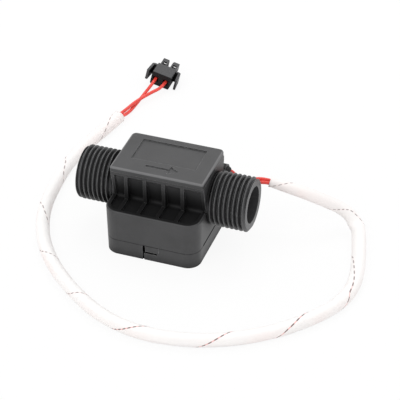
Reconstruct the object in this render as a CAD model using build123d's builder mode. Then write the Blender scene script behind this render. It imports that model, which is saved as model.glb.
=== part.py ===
"""Inline water flow sensor with two male pipe ends.

A moulded housing carries a threaded nipple at each end.  Water enters on the -X side, drops
through a half round passage into a round chamber in the base, turns a paddle wheel there and
leaves on the +X side.  A ring magnet in the wheel works a reed switch that lies in a dry
pocket above the chamber.  Two leads leave that pocket at the rear, run in a braided sleeve
round the sensor and end in a two way plug.

Frame: X along the pipe with the flow, Y to the rear, Z up, origin at the middle of the
underside.  All sizes are in millimetres.
"""
import os
from math import atan, cos, degrees, floor, pi, radians, sin, tan

from build123d import *

os.makedirs("parts", exist_ok=True)

# Base with its rounded corners, drafted so that it is smaller at the bottom
base_width = 37.6
base_depth = 40.6
base_corner = 5.5
base_draft = 0.3
rim_height = 19.8
rim_round = 0.5
lip_thickness = 1.7
trough_drop = 1.2
trough_floor = rim_height - trough_drop
draft_angle = degrees(atan(base_draft / rim_height))

# Pipe ends.  The thread is a row of rings with its crest, its root and its pitch, and the
# outermost crest is a flat land.
overall_length = 67.5
pipe_over_rim = 0.6
pipe_axis_height = rim_height + pipe_over_rim
bore_radius = 7.2
thread_crest_radius = 10.4775
thread_depth = 1.162
thread_pitch = 1.814
thread_land = 0.35
end_chamfer = 1.2
end_face = overall_length / 2

# Box above the base, closed by the top cover
box_step = 0.35
box_width = base_width - 2 * box_step
top_depth = 24.6
slab_thickness = 2.2
slab_overhang = 1.0
slab_headroom = 0.9225
slab_underside = pipe_axis_height + thread_crest_radius + slab_headroom
top_height = slab_underside + slab_thickness
wall_depth = top_depth - 2 * slab_overhang
slab_front_corner = 0.7
slab_rear_corner = 2.0
slab_round = 0.6

# Dry pocket for the switch board, in the middle of the box
chamber_wall = 4.1
chamber_radius = base_width / 2 - chamber_wall
passage_overlap = 3.3
passage_end = chamber_radius - passage_overlap
pocket_end_wall = 2.6
pocket_side_wall = 1.5
pocket_length = 2 * (passage_end - pocket_end_wall)
pocket_depth = 13.8

# Ribs and the bays between them, front and rear
rib_count = 4
rib_width = 1.3
rib_pitch = 7.45
rib_row_offset = -1.3
end_wall_width = 1.3
bay_head = 1.9
bay_top = slab_underside - bay_head
bay_shoulder = 1.0
bay_depth_top = 0.9
bay_depth_foot = (wall_depth - pocket_depth) / 2 - pocket_side_wall
bay_foot_round = 1.4
end_wall_lean = 2.3

# Label recess and flow arrow in the top face
label_left = -12.9
label_right = 12.6
label_front = -4.2
label_rear = 9.0
label_sink = 0.5
arrow_line = -7.4
arrow_tail = -6.0
arrow_neck = 3.3
arrow_tip = 7.2
arrow_half_shaft = 0.6
arrow_half_head = 2.35
arrow_sink = 0.4

# Water chamber and its cover
chamber_drop = 3.6
chamber_top = pipe_axis_height - chamber_drop
seam_height = 6.7
cover_thickness = 2.4
cover_gap = 0.3
spigot_rise = 2.3
spigot_clearance = 0.2
passage_step = 0.4
passage_radius = bore_radius - passage_step
passage_length = 5.55
passage_web = 0.3
bore_stop = passage_end + passage_length
plate_bottom = seam_height - cover_thickness
spigot_top = seam_height + spigot_rise
spigot_radius = chamber_radius - spigot_clearance

# Ring seal round the spigot
seal_gap = 0.02
seal_groove_depth = 1.2
seal_groove_width = 1.5
seal_groove_foot = 0.45
seal_groove_radius = spigot_radius - seal_groove_depth
seal_section = (chamber_radius - seal_groove_radius) / 2 - seal_gap

# Cover screws
screw_inset_x = 5.2
screw_inset_y = 5.3
screw_x = base_width / 2 - screw_inset_x
screw_y = base_depth / 2 - screw_inset_y
screw_radius = 1.2
screw_length = 10.0
screw_head_radius = 2.1
screw_head_height = 1.5
screw_head_round = 0.6
screw_clearance = 0.2
screw_thread_gap = 0.02
screw_hole_spare = 0.3

# Bottom cap, and the tongues of the body that stand in its notches
cap_wall = 1.6
cap_floor = 1.6
cap_edge_round = 0.3
cap_lip_thickness = 0.8
cap_lip_rise = 1.2
lip_clearance = 0.1
tongue_left = -1.95
tongue_right = 3.4
tongue_foot = 4.0
tongue_gap = 0.06
slot_width = 1.05
slot_height = 0.8
slot_shelf = 0.65
slit_width = 0.6
slit_depth = 0.7

# Paddle wheel, magnet, shaft and bushes
shaft_radius = 0.75
shaft_clearance = 0.05
shaft_end_gap = 0.1
bush_radius = 2.0
bush_length = 2.5
bush_seat = 0.02
bush_end_gap = 0.1
wheel_end_play = 0.25
wheel_tip_gap = 1.1
wheel_floor_gap = 0.5
hub_radius = 2.2
hub_seat = 0.01
drum_radius = 6.4
drum_top_gap = 0.5
web_thickness = 1.0
blade_count = 8
blade_thickness = 1.0
blade_top_gap = 0.8
blade_root = 0.6
blade_sweep = 24.0
blade_bow = 1.1
magnet_inner = 3.3
magnet_outer = 5.6
magnet_floor = 1.0
magnet_clearance = 0.05
magnet_sink = 0.2
web_bottom = spigot_top + wheel_floor_gap
wheel_radius = chamber_radius - wheel_tip_gap
drum_top = chamber_top - drum_top_gap
magnet_top = drum_top - magnet_sink
magnet_height = magnet_top - web_bottom - web_thickness - magnet_floor

# Switch board on its ledge in the pocket, and the reed switch in the well below it
chamber_roof = 1.8
pocket_floor = chamber_top + chamber_roof
board_end_ledge = 1.2
board_side_ledge = 0.5
well_length = pocket_length - 2 * board_end_ledge
well_depth = pocket_depth - 2 * board_side_ledge
well_height = 1.9
board_ledge = pocket_floor + well_height
board_thickness = 0.8
board_clearance = 0.1
boss_radius = 3.4
boss_head_gap = 0.2
plug_in_depth = 1.5
plug_in_wall = 1.2
plug_in_clearance = 0.15
reed_radius = 0.8
reed_wall_gap = 0.7
reed_end_margin = 1.1
reed_floor_gap = 0.2
reed_wire_radius = 0.25
reed_wire_reach = 1.3
reed_length = well_length - 2 * (reed_wire_reach + reed_end_margin)
reed_y = -(well_depth / 2 - reed_wall_gap - reed_radius)
reed_wire_bend = 0.6
reed_wire_tail = 0.5
board_hole_clearance = 0.08
board_top = board_ledge + board_thickness

# Leads, and the tunnel behind the box that they leave by
lead_radius = 0.7
lead_half_gap = 0.85
lead_start_y = 3.6
lead_pair_x = 4.05
lead_rest_gap = 0.05
lead_corner = 2.4
cable_height = board_top + lead_radius + lead_rest_gap
tunnel_inset = 5.5
tunnel_y = base_depth / 2 - tunnel_inset
tunnel_radius = 3.0
tunnel_bore = 2.2
tunnel_start = 0.6
tunnel_end_wall = 1.2
tunnel_bite = 0.5
tunnel_root = wall_depth / 2 - bay_depth_foot - tunnel_bite
tunnel_shoulder = 2.3
window_margin = 0.6
window_clearance = 0.25
window_half_height = lead_radius + window_clearance
grommet_plug_length = 4.0
grommet_nose_length = 1.45
grommet_ledge_gap = 0.05
grommet_nose_radius = cable_height - rim_height - grommet_ledge_gap
grommet_nose_round = 1.2
grommet_clearance = 0.05
lead_hole_clearance = 0.03

# Braided sleeve round the leads
sleeve_radius = 2.6
sleeve_wall = 0.5
sleeve_lead_offset = 0.8

# Plug at the end of the leads, lying a little on its side
plug_rear = (-38.6, 93.3)
plug_heading = 91.0
plug_roll = 14.0
plug_floor_gap = 0.05
plug_lead_pitch = 4.5
plug_width = 8.6
plug_height = 6.2
plug_length = 7.5
plug_corner = 0.5
plug_cavity = 2.4
plug_arm_width = 2.9
plug_arm_height = 3.4
plug_arm_length = 6.5
plug_arm_bore = 1.9
plug_arm_notch = 1.1
plug_window_length = 2.4
plug_window_width = 1.5
plug_window_start = 1.9
plug_wing_reach = 6.5
plug_wing_height = 5.0
plug_wing_thickness = 1.0
plug_wing_root = 6.2
plug_wing_length = 6.4
plug_wing_lean = 0.5
terminal_size = 1.5
terminal_length = 4.8
crimp_radius = 0.85
crimp_length = 2.6
lead_insert = 2.3
lead_run_in = 4.0

# Points of the sleeve, chosen by eye.  It comes down from the tunnel to the surface that the
# sensor stands on, bends sharply there, goes round the sensor and ends behind it.
sleeve_points = [
    (35.0, 16.6, 20.2),
    (42.0, 17.4, 18.7),
    (49.4, 19.8, 15.8),
    (56.4, 22.8, 11.6),
    (61.0, 25.2, 8.4),
    (65.4, 24.6, 6.0),
    (68.9, 21.6, 4.2),
    (70.9, 16.2, 3.0),
    (73.0, 8.6, sleeve_radius),
    (75.6, -1.8, sleeve_radius),
    (77.0, -14.0, sleeve_radius),
    (74.0, -25.6, sleeve_radius),
    (66.8, -36.4, sleeve_radius),
    (56.2, -47.4, sleeve_radius),
    (42.6, -56.4, sleeve_radius),
    (27.2, -61.8, sleeve_radius),
    (10.8, -62.8, sleeve_radius),
    (-5.4, -58.0, sleeve_radius),
    (-19.8, -48.4, sleeve_radius),
    (-32.6, -36.8, sleeve_radius),
    (-42.8, -23.0, sleeve_radius),
    (-49.4, -6.8, sleeve_radius),
    (-52.0, 10.4, sleeve_radius),
    (-52.8, 27.0, sleeve_radius),
    (-50.8, 41.6, sleeve_radius),
    (-47.9, 53.6, sleeve_radius),
    (-46.0, 63.6, sleeve_radius),
]

# Points of the free stretches of the two leads, before and after the sleeve
lead_1_out = [(22.8, tunnel_y + lead_half_gap, cable_height), (28.4, 16.6, 19.8)]
lead_2_out = [(22.8, tunnel_y - lead_half_gap, cable_height), (28.8, 14.4, 19.5)]
lead_1_end = [(-45.2, 72.0, 3.0), (-42.6, 80.0, 3.0), (-38.8, 86.4, 3.1)]
lead_2_end = [(-44.0, 71.2, 1.4), (-43.2, 79.6, 0.8), (-42.0, 86.6, 2.6)]


def route(points):
    """A path of straight runs joined by arcs that take 0.45 of the shorter run at each corner."""
    vectors = [Vector(p) for p in points]
    radii = []
    for before, here, after in zip(vectors, vectors[1:], vectors[2:]):
        turn = (here - before).get_angle(after - here)
        shorter = min((here - before).length, (after - here).length)
        radii.append(0.45 * shorter / tan(radians(turn) / 2))
    with BuildLine() as line:
        FilletPolyline(*points, radius=radii)
    return line.wires()[0], radii


def beside(points, offset):
    """The same points moved sideways in plan, to the left of the direction of travel."""
    up = Vector(0, 0, 1)
    flat = [Vector(x, y, 0) for x, y, z in points]
    ways = [(b - a).normalized() for a, b in zip(flat, flat[1:])]
    moved = []
    for i, point in enumerate(points):
        into = ways[max(i - 1, 0)]
        out = ways[min(i, len(ways) - 1)]
        left = up.cross(into + out).normalized()
        stretch = 1 / left.dot(up.cross(out))
        moved.append(tuple(Vector(*point) + left * (offset * stretch)))
    return moved


def tube(points, outer, inner, name):
    """A round tube along a route, or a round rod where the inner radius is zero."""
    path, radii = route(points)
    with BuildPart() as swept:
        with BuildSketch(Plane(origin=path @ 0, z_dir=path % 0)):
            Circle(outer)
            if inner > 0:
                Circle(inner, mode=Mode.SUBTRACT)
        sweep(path=path)
    section = pi * (outer**2 - inner**2)
    print(name, "length", round(path.length, 1), "radii", [round(r, 1) for r in radii])
    print(name, "volume over section times length", swept.part.volume / (section * path.length))
    return swept


def finish(builder, name):
    """Labels a finished piece and writes it."""
    builder.part.label = name
    export_step(builder.part, f"parts/{name}.step")


def base_outline(height, inset=0.0):
    """The drafted outline of the base at a height, drawn in the plane of that height."""
    shrink = base_draft * (1 - height / rim_height) + inset
    with BuildSketch(Plane.XY.offset(height)) as outline:
        RectangleRounded(base_width - 2 * shrink, base_depth - 2 * shrink, base_corner - shrink)
    return outline.sketch


def front_and_rear(height, left, right, inner):
    """A rectangle over the front wall and its half turn copy over the rear wall."""
    outer = base_depth / 2 + 1
    with BuildSketch(Plane.XY.offset(height)) as pair:
        with PolarLocations(0, 2):
            with Locations(((left + right) / 2, -(inner + outer) / 2)):
                Rectangle(right - left, outer - inner)
    return pair.sketch


def nipple_section(side):
    """Half section of a pipe end, with a ring for each turn of its thread."""
    inner_x = box_width / 2 - end_wall_width / 2
    crest = pipe_axis_height + thread_crest_radius
    root = crest - thread_depth
    half_foot = (thread_pitch - thread_land) / 2
    last_crest = end_face - end_chamfer - thread_land / 2
    further = floor((last_crest - half_foot - base_width / 2) / thread_pitch)
    points = [(inner_x, pipe_axis_height), (inner_x, root)]
    for turn in range(further, -1, -1):
        centre = last_crest - turn * thread_pitch
        points.append((centre - half_foot, root))
        points.append((centre - thread_land / 2, crest))
        points.append((centre + thread_land / 2, crest))
    points.append((end_face, crest - end_chamfer))
    points.append((end_face, pipe_axis_height))
    with BuildSketch(Plane.XZ) as section:
        with BuildLine():
            Polyline(*[(side * x, z) for x, z in points], close=True)
        make_face()
    return section.sketch


def bay_profile():
    """Section across the front bay and the rear bay: hollow wall and rounded foot."""
    wall = wall_depth / 2
    foot = wall - bay_depth_foot
    out = wall + slab_overhang
    bottom = trough_floor + bay_foot_round
    with BuildSketch() as section:
        with BuildLine():
            Polyline((-out, trough_floor), (-out, bay_top), (-wall, bay_top),
                     (-wall + bay_depth_top, bay_top - bay_shoulder), (-foot, bottom))
            RadiusArc((-foot, bottom), (-foot - bay_foot_round, trough_floor), bay_foot_round)
            Line((-foot - bay_foot_round, trough_floor), (-out, trough_floor))
        make_face()
        mirror(about=Plane.YZ)
    return section.sketch


def bay_spans():
    """Start and end in X of each bay between the end walls and the ribs."""
    inside = box_width / 2 - end_wall_width
    centres = [rib_row_offset + rib_pitch * (i - (rib_count - 1) / 2) for i in range(rib_count)]
    starts = [-inside] + [c + rib_width / 2 for c in centres]
    ends = [c - rib_width / 2 for c in centres] + [inside]
    return list(zip(starts, ends))


def make_body():
    """The housing, moulded in one piece with its threaded ends and the cable tunnel."""
    with BuildPart() as body:
        # Drafted skirt, cut back to the seam except for the two tongues
        add(base_outline(tongue_foot))
        extrude(amount=rim_height - tongue_foot, taper=-draft_angle)
        fillet(body.faces().sort_by(Axis.Z)[-1].edges(), radius=rim_round)
        with BuildSketch(Plane.XY.offset(tongue_foot)):
            Rectangle(base_width + 2, base_depth + 2)
            add(front_and_rear(tongue_foot, tongue_left, tongue_right,
                               base_depth / 2 - cap_wall), mode=Mode.SUBTRACT)
        extrude(amount=seam_height - tongue_foot, mode=Mode.SUBTRACT)
        # Box under the top cover
        with BuildSketch(Plane.XY.offset(trough_floor)):
            Rectangle(box_width, wall_depth)
        extrude(amount=slab_underside - trough_floor)
        # Bays in the front and rear walls
        for start, end in bay_spans():
            with BuildSketch(Plane.YZ.offset(start)):
                add(bay_profile())
            extrude(amount=end - start, mode=Mode.SUBTRACT)
        # Troughs behind the rim, with the feet of the ribs left standing
        foot_line = wall_depth - 2 * bay_depth_foot + 2 * bay_foot_round
        inset = 2 * lip_thickness
        with BuildSketch(Plane.XY.offset(trough_floor)):
            for start, end in bay_spans():
                with Locations(((start + end) / 2, 0)):
                    Rectangle(end - start, base_depth)
            Rectangle(box_width, foot_line, mode=Mode.SUBTRACT)
            RectangleRounded(base_width - inset, base_depth - inset, base_corner - lip_thickness,
                             mode=Mode.INTERSECT)
        extrude(amount=rim_height - trough_floor, mode=Mode.SUBTRACT)
        # End walls that lean in towards the foot
        wall = wall_depth / 2
        for side in (1, -1):
            with BuildSketch(Plane.YZ.offset(side * (box_width / 2 - end_wall_width))):
                for face in (1, -1):
                    with BuildLine():
                        Polyline((face * (wall + 1), bay_top), (face * wall, bay_top),
                                 (face * (wall - end_wall_lean), rim_height),
                                 (face * (wall + 1), rim_height), close=True)
                    make_face()
            extrude(amount=side * (end_wall_width + 1), mode=Mode.SUBTRACT)
        # Pipe ends
        for side in (1, -1):
            add(nipple_section(side))
            revolve(axis=Axis((0, 0, pipe_axis_height), (1, 0, 0)))
        # Cable tunnel on the rear ledge
        with BuildSketch(Plane.YZ.offset(tunnel_start)):
            with Locations((tunnel_y, cable_height)):
                Circle(tunnel_radius)
                Rectangle(2 * tunnel_radius, cable_height - trough_floor,
                          align=(Align.CENTER, Align.MAX))
            with Locations((tunnel_root, trough_floor)):
                Rectangle(tunnel_y - tunnel_root, cable_height + tunnel_shoulder - trough_floor,
                          align=(Align.MIN, Align.MIN))
        extrude(amount=box_width / 2 - tunnel_start)
        # Bores and the half round passages that lead to and from the chamber
        for side in (1, -1):
            with BuildSketch(Plane.YZ.offset(side * end_face)):
                with Locations((0, pipe_axis_height)):
                    Circle(bore_radius)
            extrude(amount=-side * (end_face - bore_stop), mode=Mode.SUBTRACT)
            with BuildSketch(Plane.YZ.offset(side * bore_stop)):
                with Locations((0, pipe_axis_height)):
                    Circle(passage_radius)
                with Locations((side * passage_web, pipe_axis_height)):
                    Rectangle(passage_radius + 1, 2 * passage_radius, mode=Mode.INTERSECT,
                              align=(Align.MIN if side > 0 else Align.MAX, Align.CENTER))
            extrude(amount=-side * passage_length, mode=Mode.SUBTRACT)
        # Chamber, open below
        with BuildSketch(Plane.XY.offset(seam_height)):
            Circle(chamber_radius)
        extrude(amount=chamber_top - seam_height, mode=Mode.SUBTRACT)
        # Dry pocket with the ledge for the board and the boss of the upper bush
        with BuildSketch(Plane.XY.offset(pocket_floor)):
            Rectangle(well_length, well_depth)
            Circle(boss_radius, mode=Mode.SUBTRACT)
        extrude(amount=board_ledge - pocket_floor, mode=Mode.SUBTRACT)
        with BuildSketch(Plane.XY.offset(board_ledge - boss_head_gap)):
            Circle(boss_radius + 1)
        extrude(amount=boss_head_gap, mode=Mode.SUBTRACT)
        with BuildSketch(Plane.XY.offset(board_ledge)):
            Rectangle(pocket_length, pocket_depth)
        extrude(amount=slab_underside - board_ledge, mode=Mode.SUBTRACT)
        with BuildSketch(Plane.XY.offset(chamber_top)):
            Circle(bush_radius + bush_seat)
        extrude(amount=bush_length + bush_end_gap, mode=Mode.SUBTRACT)
        # Bore of the tunnel, and the window between it and the pocket
        with BuildSketch(Plane.YZ.offset(tunnel_start + tunnel_end_wall)):
            with Locations((tunnel_y, cable_height)):
                Circle(tunnel_bore)
        extrude(amount=box_width / 2 - tunnel_start - tunnel_end_wall, mode=Mode.SUBTRACT)
        window_left = lead_pair_x - lead_half_gap - lead_radius - window_margin
        window_right = lead_pair_x + lead_half_gap + lead_corner + window_margin / 2
        with BuildSketch(Plane.XZ.offset(-pocket_depth / 2)):
            with Locations(((window_left + window_right) / 2, cable_height)):
                Rectangle(window_right - window_left, 2 * window_half_height)
        extrude(amount=-(tunnel_y - pocket_depth / 2), mode=Mode.SUBTRACT)
        # Groove for the lip of the cap, interrupted at the tongues
        with BuildSketch(Plane.XY.offset(seam_height)):
            add(base_outline(seam_height, cap_wall - cap_lip_thickness - lip_clearance))
            add(base_outline(seam_height, cap_wall + lip_clearance), mode=Mode.SUBTRACT)
            add(front_and_rear(seam_height, tongue_left, tongue_right, 0), mode=Mode.SUBTRACT)
        extrude(amount=cap_lip_rise + 2 * lip_clearance, mode=Mode.SUBTRACT)
        # Pilot holes for the cover screws
        with BuildSketch(Plane.XY.offset(seam_height)):
            with GridLocations(2 * screw_x, 2 * screw_y, 2, 2):
                Circle(screw_radius + screw_thread_gap)
        screw_hole_top = plate_bottom + screw_length + screw_hole_spare
        extrude(amount=screw_hole_top - seam_height, mode=Mode.SUBTRACT)
    finish(body, "body")


def make_top_cover():
    """The slab on top with its label recess, its flow arrow and the rim that enters the pocket."""
    with BuildPart() as cover:
        with BuildSketch(Plane.XY.offset(slab_underside)) as outline:
            Rectangle(box_width, top_depth)
            fillet(outline.vertices().group_by(Axis.Y)[0], radius=slab_front_corner)
            fillet(outline.vertices().group_by(Axis.Y)[-1], radius=slab_rear_corner)
        extrude(amount=slab_thickness)
        fillet(cover.faces().sort_by(Axis.Z)[-1].edges(), radius=slab_round)
        with BuildSketch(Plane.XY.offset(top_height)):
            with Locations(((label_left + label_right) / 2, (label_front + label_rear) / 2)):
                Rectangle(label_right - label_left, label_rear - label_front)
        extrude(amount=-label_sink, mode=Mode.SUBTRACT)
        with BuildSketch(Plane.XY.offset(top_height)):
            with BuildLine():
                Polyline((arrow_tail, arrow_line), (arrow_tail, arrow_line + arrow_half_shaft),
                         (arrow_neck, arrow_line + arrow_half_shaft),
                         (arrow_neck, arrow_line + arrow_half_head), (arrow_tip, arrow_line))
                mirror(about=Plane.XZ.offset(-arrow_line))
            make_face()
        extrude(amount=-arrow_sink, mode=Mode.SUBTRACT)
        with BuildSketch(Plane.XY.offset(slab_underside)):
            outside = 2 * plug_in_clearance
            inside = outside + 2 * plug_in_wall
            Rectangle(pocket_length - outside, pocket_depth - outside)
            Rectangle(pocket_length - inside, pocket_depth - inside, mode=Mode.SUBTRACT)
        extrude(amount=-plug_in_depth)
    finish(cover, "top_cover")


def make_bottom_cap():
    """The cap under the base, with its lip and with a notch for each tongue of the body."""
    with BuildPart() as cap:
        add(base_outline(0))
        extrude(amount=seam_height, taper=-draft_angle)
        fillet(cap.faces().sort_by(Axis.Z)[0].edges(), radius=cap_edge_round)
        add(base_outline(cap_floor, cap_wall))
        extrude(amount=seam_height - cap_floor, taper=-draft_angle, mode=Mode.SUBTRACT)
        with BuildSketch(Plane.XY.offset(seam_height)):
            add(base_outline(seam_height, cap_wall - cap_lip_thickness))
            add(base_outline(seam_height, cap_wall), mode=Mode.SUBTRACT)
        extrude(amount=cap_lip_rise)
        inner = base_depth / 2 - cap_wall - 1
        slot_left = tongue_left - slot_width
        slot_foot = tongue_foot - slot_height
        cuts = [
            (slot_left, tongue_right + tongue_gap, tongue_foot - tongue_gap, inner),
            (slot_left, tongue_right - slot_shelf, slot_foot, inner),
        ]
        for left, right, foot, depth in cuts:
            with BuildSketch(Plane.XY.offset(foot)):
                add(front_and_rear(foot, left, right, depth))
            extrude(amount=seam_height + cap_lip_rise - foot, mode=Mode.SUBTRACT)
        slit_floor = base_depth / 2 - base_draft - slit_depth
        with BuildSketch(Plane.XY):
            add(front_and_rear(0, slot_left, slot_left + slit_width, slit_floor))
        extrude(amount=slot_foot, mode=Mode.SUBTRACT)
    finish(cap, "bottom_cap")


def make_chamber_cover():
    """The plate that closes the chamber, with its spigot, seal groove and bush seat."""
    with BuildPart() as cover:
        add(base_outline(seam_height, cap_wall + cover_gap))
        extrude(amount=-cover_thickness)
        with BuildSketch(Plane.XY.offset(seam_height)):
            Circle(spigot_radius)
        extrude(amount=spigot_rise)
        with BuildSketch(Plane.XY.offset(seam_height + seal_groove_foot)):
            Circle(spigot_radius + 1)
            Circle(seal_groove_radius, mode=Mode.SUBTRACT)
        extrude(amount=seal_groove_width, mode=Mode.SUBTRACT)
        with BuildSketch(Plane.XY.offset(spigot_top)):
            Circle(bush_radius + bush_seat)
        extrude(amount=-bush_length - bush_end_gap, mode=Mode.SUBTRACT)
        with BuildSketch(Plane.XY.offset(plate_bottom)):
            with GridLocations(2 * screw_x, 2 * screw_y, 2, 2):
                Circle(screw_radius + screw_clearance)
        extrude(amount=cover_thickness, mode=Mode.SUBTRACT)
    finish(cover, "chamber_cover")


def make_cover_seal():
    """The ring seal in the groove of the spigot."""
    height = seam_height + seal_groove_foot + seal_groove_width / 2
    with BuildPart() as seal:
        with BuildSketch(Plane.XZ):
            with Locations((seal_groove_radius + seal_gap + seal_section, height)):
                Circle(seal_section)
        revolve(axis=Axis.Z)
    finish(seal, "cover_seal")


def make_cover_screws():
    """The four screws that hold the chamber cover."""
    with BuildPart() as screws:
        with BuildSketch(Plane.XY.offset(plate_bottom)):
            with GridLocations(2 * screw_x, 2 * screw_y, 2, 2):
                Circle(screw_head_radius)
        extrude(amount=-screw_head_height)
        fillet(screws.edges().group_by(Axis.Z)[0], radius=screw_head_round)
        with BuildSketch(Plane.XY.offset(plate_bottom)):
            with GridLocations(2 * screw_x, 2 * screw_y, 2, 2):
                Circle(screw_radius)
        extrude(amount=screw_length)
    finish(screws, "cover_screws")


def blade_outline():
    """One swept blade in plan, from inside the drum to the tip circle."""
    angle = radians(blade_sweep)
    root = (drum_radius - blade_root, 0)
    tip = (wheel_radius * cos(angle), wheel_radius * sin(angle))
    with BuildSketch(Plane.XY.offset(web_bottom)) as blade:
        with BuildLine():
            SagittaArc(root, tip, blade_bow)
        trace(line_width=blade_thickness)
    return blade.sketch


def make_rotor_wheel():
    """The paddle wheel: web, drum with the magnet pocket, hub and swept blades."""
    with BuildPart() as wheel:
        with BuildSketch(Plane.XY.offset(web_bottom)):
            Circle(wheel_radius)
        extrude(amount=web_thickness)
        with BuildSketch(Plane.XY.offset(web_bottom)):
            with PolarLocations(0, blade_count):
                add(blade_outline())
            Circle(wheel_radius, mode=Mode.INTERSECT)
        extrude(amount=chamber_top - blade_top_gap - web_bottom)
        with BuildSketch(Plane.XY.offset(web_bottom)):
            Circle(drum_radius)
        extrude(amount=drum_top - web_bottom)
        with BuildSketch(Plane.XY.offset(magnet_top - magnet_height - magnet_clearance)):
            Circle(magnet_outer + magnet_clearance)
            Circle(magnet_inner - magnet_clearance, mode=Mode.SUBTRACT)
        extrude(amount=magnet_height + magnet_sink + 1, mode=Mode.SUBTRACT)
        with BuildSketch(Plane.XY.offset(spigot_top + wheel_end_play)):
            Circle(hub_radius)
        extrude(amount=chamber_top - spigot_top - 2 * wheel_end_play)
        with BuildSketch(Plane.XY.offset(spigot_top)):
            Circle(shaft_radius + hub_seat)
        extrude(amount=chamber_top - spigot_top, mode=Mode.SUBTRACT)
    finish(wheel, "rotor_wheel")


def make_rotor_magnet():
    """The ring magnet in the drum of the wheel."""
    with BuildPart() as magnet:
        with BuildSketch(Plane.XY.offset(magnet_top)):
            Circle(magnet_outer)
            Circle(magnet_inner, mode=Mode.SUBTRACT)
        extrude(amount=-magnet_height)
    finish(magnet, "rotor_magnet")


def make_rotor_shaft():
    """The steel shaft through the wheel, which turns in the two bushes."""
    bottom = spigot_top - bush_length + shaft_end_gap
    top = chamber_top + bush_length - shaft_end_gap
    with BuildPart() as shaft:
        with BuildSketch(Plane.XY.offset(bottom)):
            Circle(shaft_radius)
        extrude(amount=top - bottom)
        chamfer(shaft.edges().filter_by(GeomType.CIRCLE), length=shaft_radius / 4)
    finish(shaft, "rotor_shaft")


def make_bush(name, mouth, direction):
    """A bush sunk from its mouth into its seat, down or up."""
    with BuildPart() as bush:
        with BuildSketch(Plane.XY.offset(mouth)):
            Circle(bush_radius)
            Circle(shaft_radius + shaft_clearance, mode=Mode.SUBTRACT)
        extrude(amount=direction * bush_length)
    finish(bush, name)


def reed_height():
    """Height of the reed switch under the board."""
    return pocket_floor + reed_floor_gap + reed_radius


def make_sensor_board():
    """The small board on its ledge, with the holes for the wires of the reed switch."""
    with BuildPart() as board:
        with BuildSketch(Plane.XY.offset(board_ledge)):
            Rectangle(pocket_length - 2 * board_clearance, pocket_depth - 2 * board_clearance)
            with Locations((0, reed_y)):
                with GridLocations(reed_length + 2 * reed_wire_reach, 1, 2, 1):
                    Circle(reed_wire_radius + board_hole_clearance, mode=Mode.SUBTRACT)
        extrude(amount=board_thickness)
    finish(board, "sensor_board")


def make_reed_glass():
    """The glass tube of the reed switch, along X, with its rounded ends."""
    with BuildPart() as glass:
        with BuildSketch(Plane.YZ.offset(-reed_length / 2)):
            with Locations((reed_y, reed_height())):
                Circle(reed_radius)
        extrude(amount=reed_length)
        fillet(glass.edges().filter_by(GeomType.CIRCLE), radius=reed_radius / 2)
    finish(glass, "reed_glass")


def make_reed_wire(name, side):
    """One wire of the reed switch, out of the glass and up through the board."""
    reach = reed_length / 2 + reed_wire_reach
    points = [
        (side * reed_length / 2, reed_y, reed_height()),
        (side * reach, reed_y, reed_height()),
        (side * reach, reed_y, board_top + reed_wire_tail),
    ]
    with BuildLine() as line:
        FilletPolyline(*points, radius=reed_wire_bend)
    with BuildPart() as wire:
        with BuildSketch(Plane(origin=line.line @ 0, z_dir=line.line % 0)):
            Circle(reed_wire_radius)
        sweep(path=line.line)
    finish(wire, name)


def make_wire_grommet():
    """The rubber grommet in the mouth of the tunnel, with a hole for each lead."""
    with BuildPart() as grommet:
        with BuildSketch(Plane.YZ.offset(box_width / 2)):
            with Locations((tunnel_y, cable_height)):
                Circle(tunnel_bore - grommet_clearance)
        extrude(amount=-grommet_plug_length)
        with BuildSketch(Plane.YZ.offset(box_width / 2)):
            with Locations((tunnel_y, cable_height)):
                Circle(grommet_nose_radius)
        extrude(amount=grommet_nose_length)
        fillet(grommet.faces().sort_by(Axis.X)[-1].edges(), radius=grommet_nose_round)
        with BuildSketch(Plane.YZ.offset(box_width / 2 - grommet_plug_length)):
            with Locations((tunnel_y, cable_height)):
                with GridLocations(2 * lead_half_gap, 1, 2, 1):
                    Circle(lead_radius + lead_hole_clearance)
        extrude(amount=grommet_plug_length + grommet_nose_length, mode=Mode.SUBTRACT)
    finish(grommet, "wire_grommet")


def plug_plan():
    """The plug's own plane: X to its right, Y along its axis to the front, Z up through it."""
    along = Vector(cos(radians(plug_heading)), sin(radians(plug_heading)), 0)
    right = Vector(along.Y, -along.X, 0)
    lean = radians(plug_roll)
    tilted = right * cos(lean) - Vector(0, 0, 1) * sin(lean)
    drop = max((plug_wing_reach + plug_wing_lean) * sin(lean) + plug_wing_height / 2 * cos(lean),
               plug_width / 2 * sin(lean) + plug_height / 2 * cos(lean))
    return Plane(origin=(*plug_rear, drop + plug_floor_gap), x_dir=tilted, z_dir=tilted.cross(along))


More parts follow.
